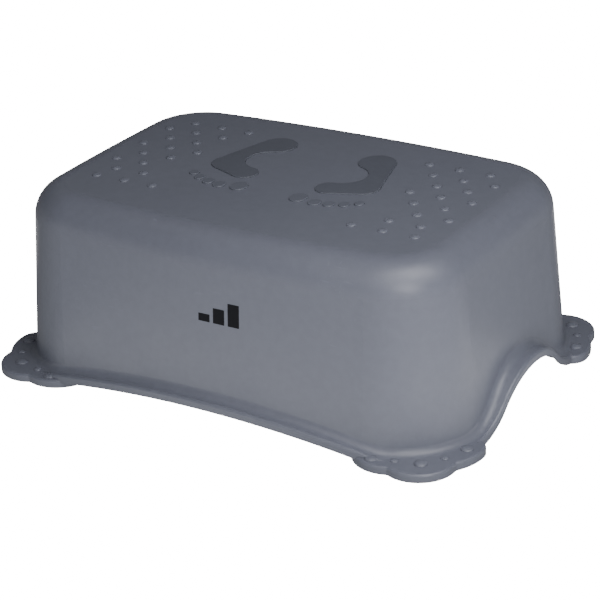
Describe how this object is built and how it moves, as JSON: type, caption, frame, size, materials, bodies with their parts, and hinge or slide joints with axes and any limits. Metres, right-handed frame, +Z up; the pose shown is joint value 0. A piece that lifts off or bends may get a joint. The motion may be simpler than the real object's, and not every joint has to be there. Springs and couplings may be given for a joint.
{
  "type": "step stool",
  "caption": "Low one-step plastic stool for a child: rounded drafted box open below, arched rim with lobed corners, soft raised footprints and grip studs on the tread.",
  "frame": {"origin": "on the floor, under the middle of the tread", "axes": "+X along the long side, +Y from front to back, +Z up; the printed front faces -Y"},
  "size_m": [0.3932, 0.2724, 0.1414],
  "materials": {
    "body_plastic": "satin moulded polypropylene",
    "soft_inlay": "matte thermoplastic elastomer",
    "soft_stud": "satin thermoplastic elastomer",
    "soft_foot": "satin thermoplastic elastomer",
    "print": "printed ink film"
  },
  "bodies": {
    "root": {"stool_shell": "body_plastic", "left_sole": "soft_inlay", "right_sole": "soft_inlay", "left_toe_1": "soft_inlay", "left_toe_2": "soft_inlay", "left_toe_3": "soft_inlay", "left_toe_4": "soft_inlay", "left_toe_5": "soft_inlay", "right_toe_1": "soft_inlay", "right_toe_2": "soft_inlay", "right_toe_3": "soft_inlay", "right_toe_4": "soft_inlay", "right_toe_5": "soft_inlay", "left_grip_studs": "soft_stud", "right_grip_studs": "soft_stud", "foot_front_left": "soft_foot", "foot_front_right": "soft_foot", "foot_back_left": "soft_foot", "foot_back_right": "soft_foot", "front_mark": "print"}
  },
  "joints": []
}
